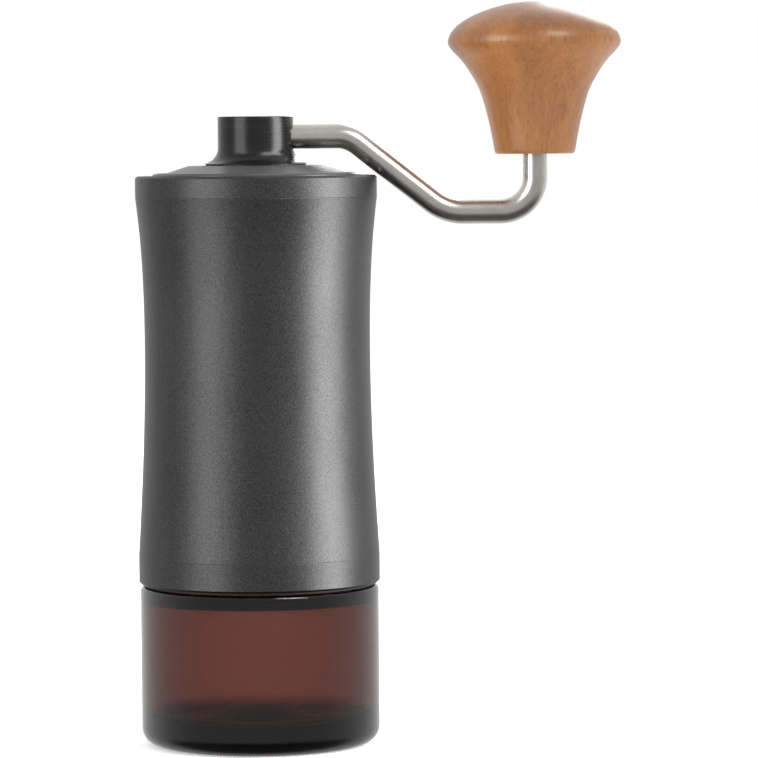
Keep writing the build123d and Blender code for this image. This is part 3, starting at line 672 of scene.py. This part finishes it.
def lid_profile():
    """Up the boss, out over the cone and the flange, down the plug and back under the roof."""
    top = lid_high.z - LID_CREST
    crest = lid_high.z
    flange_r = lid_high.x
    seat = lid_high.z - LID_CREST - LID_FLANGE
    groove_r = PLUG_R - O_RING_GROOVE
    ring_low, ring_high = lid_low.z + 0.0018, lid_low.z + 0.0038
    boss_foot = lid_low.z + 0.0017
    points = [(LID_BORE_R, boss_foot), (LID_BORE_R, crest), (LID_PLATEAU_R - 0.0004, crest)]
    points += [(LID_PLATEAU_R, crest - 0.00006), (LID_FLAT_R, top + 0.00012)]
    points += [(LID_FLAT_R + 0.0005, top), (flange_r - 0.0011, top)]
    points += [(flange_r - 0.001, top - 0.00015), (flange_r - 0.0003, top - 0.00015)]
    points += [(flange_r, top - 0.00045), (flange_r, seat), (PLUG_R, seat), (PLUG_R, ring_high)]
    points += [(groove_r, ring_high), (groove_r, ring_low), (PLUG_R, ring_low)]
    points += [(PLUG_R, lid_low.z + 0.0003), (PLUG_R - 0.0003, lid_low.z)]
    points += [(PLUG_R - PLUG_WALL, lid_low.z), (PLUG_R - PLUG_WALL, top - LID_ROOF)]
    points += [(LID_PLATEAU_R - 0.0004, crest - LID_ROOF), (LID_BORE_R + 0.002, crest - LID_ROOF)]
    points += [(LID_BORE_R + 0.002, boss_foot), (LID_BORE_R, boss_foot)]
    return points


cap = turn_on_lathe("domed_lid", lid_profile(), sides=160, crease=8)
cap.data.materials.append(moulded_black("satin_lid", 0.042, 0.34, 2600, 0.00002))
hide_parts("lid")
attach(cap, "lid")


def slippery_plastic():
    """Off-white bearing plastic, faintly speckled."""
    finish, tree, shader = start_finish("slippery_plastic")
    specks = stretched_noise(tree, 1400, detail=3.0)
    stops = [(0.3, (0.58, 0.57, 0.53)), (0.7, (0.68, 0.67, 0.63))]
    tree.links.new(colour_between(tree, specks, stops), shader.inputs["Base Color"])
    tree.links.new(number_between(tree, specks, 0.38, 0.5), shader.inputs["Roughness"])
    raise_surface(tree, shader, specks, 0.2, 0.00002)
    return finish


dress(slippery_plastic(), "lid_bush")
dress(rubber, "lid_o_ring")

# ---- The crank hub ----
# A turned aluminium hub, lacquered satin black. It spreads in a fillet at its foot, and the
# crank rod is let into its side and held by a grub screw at the back.
HUB_R = 0.0094
HUB_FILLET = 0.004
HUB_EDGE_ROUND = 0.0003
SOCKET_R = 0.0061
SOCKET_DEPTH = 0.0086
rod_low, rod_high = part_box("crank_rod")
ROD_R = (rod_high.y - rod_low.y) / 2
ROD_BELOW_HUB_TOP = 0.0051
ROD_Z = hub_high.z - ROD_BELOW_HUB_TOP


def hub_profile():
    """Over the top, down the side and its fillet, and up the socket's hole."""
    foot_r = hub_high.x
    low, high = hub_low.z, hub_high.z
    edge = HUB_EDGE_ROUND
    points = [(0.001, high), (HUB_R - 0.0005, high)]
    points += round_points(HUB_R - edge, high - edge, edge, 80, 0, 4)
    points += straight_points(points[-1], (HUB_R, low + HUB_FILLET), 4)
    points += round_points(foot_r, low + HUB_FILLET, HUB_FILLET, 180, 268, 12)[1:]
    points += [(foot_r, low), (SOCKET_R, low)]
    points += [(SOCKET_R, high - SOCKET_DEPTH), (0.001, high - SOCKET_DEPTH)]
    return points


def satin_black():
    """Satin lacquer that still shows the turning under it."""
    finish, tree, shader = start_finish("satin_black")
    fine = stretched_noise(tree, 1800, detail=2.0)
    turning = stretched_noise(tree, 260, (0.05, 0.05, 6), detail=2.0)
    stops = [(0.3, (0.007, 0.007, 0.0073)), (0.7, (0.013, 0.013, 0.0133))]
    tree.links.new(colour_between(tree, turning, stops), shader.inputs["Base Color"])
    tree.links.new(number_between(tree, fine, 0.2, 0.34), shader.inputs["Roughness"])
    shader.inputs["Metallic"].default_value = 0.5
    raise_surface(tree, shader, turning, 0.12, 0.00004)
    return finish


hub = turn_on_lathe("turned_hub", hub_profile(), sides=128, crease=25)
hub.data.materials.append(satin_black())
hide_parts("crank_hub")
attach(hub, "crank")
dress(ground_shaft, "drive_socket")
dress(spring_steel, "socket_circlip")
dress(nylon, "hub_washer")

# ---- The crank rod ----
# Round stainless rod, bent three times and polished along its length. It runs level out of the
# hub, slopes down past the rim, runs level again and turns up through the knob.
BEND_START_X = 0.0233
BEND_END_X = 0.0473
CRANK_R = rod_high.x - ROD_R
ROD_DROP = ROD_Z - (rod_low.z + ROD_R)
BEND_RADII = (0.0085, 0.0125, 0.0085)


def grow_bent_rod(name, corners, radii, thickness, sides=40):
    """Extrude a ring along straight runs in the XZ plane and spin it round each bend."""
    start = Vector(corners[0])
    bpy.ops.object.select_all(action="DESELECT")
    bpy.ops.mesh.primitive_circle_add(
        vertices=sides, radius=thickness, location=start, rotation=(0, math.pi / 2, 0),
        fill_type="NGON",
    )
    piece = bpy.context.object
    piece.name = name
    piece.data.name = name
    bpy.ops.object.transform_apply(location=True, rotation=True, scale=True)
    bpy.ops.object.mode_set(mode="EDIT")
    bpy.ops.mesh.select_all(action="SELECT")
    place = start
    for before, corner, after, radius in zip(corners, corners[1:], corners[2:], radii):
        into = (Vector(corner) - Vector(before)).normalized()
        out = (Vector(after) - Vector(corner)).normalized()
        turn = into.angle(out)
        downward = into.cross(out).y > 0
        bend_start = Vector(corner) - into * radius * math.tan(turn / 2)
        right_hand = Vector((0, 1, 0)).cross(into)
        centre = bend_start + right_hand * (radius if downward else -radius)
        bpy.ops.mesh.extrude_region_move(TRANSFORM_OT_translate={"value": bend_start - place})
        bpy.ops.mesh.spin(
            steps=14, angle=-turn if downward else turn, center=centre, axis=(0, 1, 0)
        )
        place = Vector(corner) + out * radius * math.tan(turn / 2)
    bpy.ops.mesh.extrude_region_move(
        TRANSFORM_OT_translate={"value": Vector(corners[-1]) - place}
    )
    bpy.ops.mesh.select_all(action="SELECT")
    bpy.ops.mesh.remove_doubles(threshold=1e-6)
    bpy.ops.mesh.normals_make_consistent(inside=False)
    bpy.ops.object.mode_set(mode="OBJECT")
    bpy.ops.object.shade_smooth_by_angle(angle=math.radians(35))
    return piece


def polished_rod():
    """Stainless steel with fine scratches along the rod."""
    finish, tree, shader = start_finish("polished_rod")
    scratches = stretched_noise(tree, 1500, (0.06, 1, 1), detail=2.0)
    patches = stretched_noise(tree, 160, detail=3.0)
    stops = [(0.3, (0.5, 0.475, 0.445)), (0.7, (0.62, 0.595, 0.56))]
    tree.links.new(colour_between(tree, patches, stops), shader.inputs["Base Color"])
    tree.links.new(number_between(tree, scratches, 0.2, 0.34), shader.inputs["Roughness"])
    shader.inputs["Metallic"].default_value = 1.0
    raise_surface(tree, shader, scratches, 0.1, 0.00003)
    return finish


rod = grow_bent_rod(
    "bent_rod",
    [
        (rod_low.x, 0, ROD_Z),
        (BEND_START_X, 0, ROD_Z),
        (BEND_END_X, 0, ROD_Z - ROD_DROP),
        (CRANK_R, 0, ROD_Z - ROD_DROP),
        (CRANK_R, 0, rod_high.z),
    ],
    BEND_RADII,
    ROD_R,
)
rod.data.materials.append(polished_rod())
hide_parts("crank_rod")
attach(rod, "crank")
keep_lights_off(rod, "right_softbox")
dress(spring_steel, "rod_grub_screw")

# ---- The knob ----
# A mushroom of pale hardwood, turned with the grain running up it, oiled and varnished. It is
# bored from below for a brass bush.
knob_low, knob_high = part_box("wooden_knob")
KNOB_R = (knob_high.x - knob_low.x) / 2
KNOB_FOOT_R = 0.01
KNOB_FOOT_ROUND = 0.0006
KNOB_WIDEST_UP = 0.0276
KNOB_BORE_R = 0.005
KNOB_BORE_DEPTH = 0.026
DOME_STEPS = 27
DOME_FLATTENING = 0.04
# The stem from the widest ring down: shares of the widest radius and of the height of that ring.
STEM_SHARES = (
    (0.982, 0.966), (0.935, 0.92), (0.847, 0.848), (0.753, 0.746), (0.628, 0.562), (0.53, 0.286)
)


def smooth_through(points, steps):
    """A Catmull-Rom curve through (radius, height) points."""
    ends = [points[0], *points, points[-1]]
    curve = [points[0]]
    for p0, p1, p2, p3 in zip(ends, ends[1:], ends[2:], ends[3:]):
        for i in range(1, steps + 1):
            t = i / steps
            curve.append(
                tuple(
                    0.5 * (2 * b + (c - a) * t + (2 * a - 5 * b + 4 * c - d) * t**2)
                    + 0.5 * (3 * b - a - 3 * c + d) * t**3
                    for a, b, c, d in zip(p0, p1, p2, p3)
                )
            )
    return curve


def knob_profile():
    """From the crown out over the dome, down the stem and up the bush's bore."""
    foot = knob_low.z
    widest = foot + KNOB_WIDEST_UP
    dome = knob_high.z - widest
    points = [(0.0008, knob_high.z)]
    for i in range(1, DOME_STEPS):
        angle = math.radians(90 * i / DOME_STEPS)
        flat = 1 - DOME_FLATTENING * math.sin(2 * angle) ** 2
        across = KNOB_R * math.sin(angle) * flat**0.5
        points.append((across, widest + dome * math.cos(angle) * flat))
    stem = [(KNOB_R, widest)]
    stem += [(KNOB_R * across, foot + KNOB_WIDEST_UP * up) for across, up in STEM_SHARES]
    stem += [(KNOB_FOOT_R, foot + KNOB_FOOT_ROUND)]
    points += smooth_through(stem, 8)
    points += [(KNOB_FOOT_R - 0.0002, foot + 0.0002), (KNOB_FOOT_R - KNOB_FOOT_ROUND, foot)]
    points += [(KNOB_BORE_R, foot), (KNOB_BORE_R, foot + KNOB_BORE_DEPTH)]
    points += [(0.0008, foot + KNOB_BORE_DEPTH)]
    return points


WOOD_TONES = [
    (0.3, (0.192, 0.068, 0.0145)),
    (0.5, (0.24, 0.09, 0.0205)),
    (0.7, (0.285, 0.113, 0.0275)),
]
PORE_SHADES = [(0.3, (0.74, 0.68, 0.62)), (0.46, (0.96, 0.95, 0.94)), (0.75, (1.0, 1.0, 1.0))]


def varnished_wood():
    """Long grain, short dark flecks and a clear coat."""
    finish, tree, shader = start_finish("varnished_wood")
    bands = stretched_noise(tree, 110, (1.0, 1.0, 0.06), detail=4.0, distortion=0.1)
    streaks = stretched_noise(tree, 620, (1.0, 1.0, 0.022), detail=3.0, roughness=0.65)
    pores = stretched_noise(tree, 1500, (1.0, 1.0, 0.035), detail=2.0, roughness=0.6)
    grain = add_node(
        tree,
        "ShaderNodeMath",
        {0: bands, 1: number_between(tree, streaks, -0.22, 0.22)},
    )
    tone = colour_between(tree, grain.outputs["Value"], WOOD_TONES)
    fleck = colour_between(tree, pores, PORE_SHADES)
    blend = add_node(
        tree,
        "ShaderNodeMix",
        {0: 1.0, 6: tone, 7: fleck},
        data_type="RGBA",
        blend_type="MULTIPLY",
    )
    tree.links.new(blend.outputs[2], shader.inputs["Base Color"])
    tree.links.new(number_between(tree, pores, 0.5, 0.34), shader.inputs["Roughness"])
    shader.inputs["Coat Weight"].default_value = 0.3
    shader.inputs["Coat Roughness"].default_value = 0.24
    raise_surface(tree, shader, pores, 0.18, 0.00005)
    return finish


knob = turn_on_lathe("turned_knob", knob_profile(), sides=128, centre=(CRANK_R, 0), crease=40)
knob.data.materials.append(varnished_wood())
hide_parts("wooden_knob")
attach(knob, "knob")
keep_lights_off(knob, "right_softbox")
turned_brass = bare_metal(
    "turned_brass", (0.62, 0.44, 0.19), 0.2, 0.36, 3000, depth=0.00001, centre=(CRANK_R, 0)
)
dress(turned_brass, "knob_bush")
dress(spring_steel, "knob_circlip")
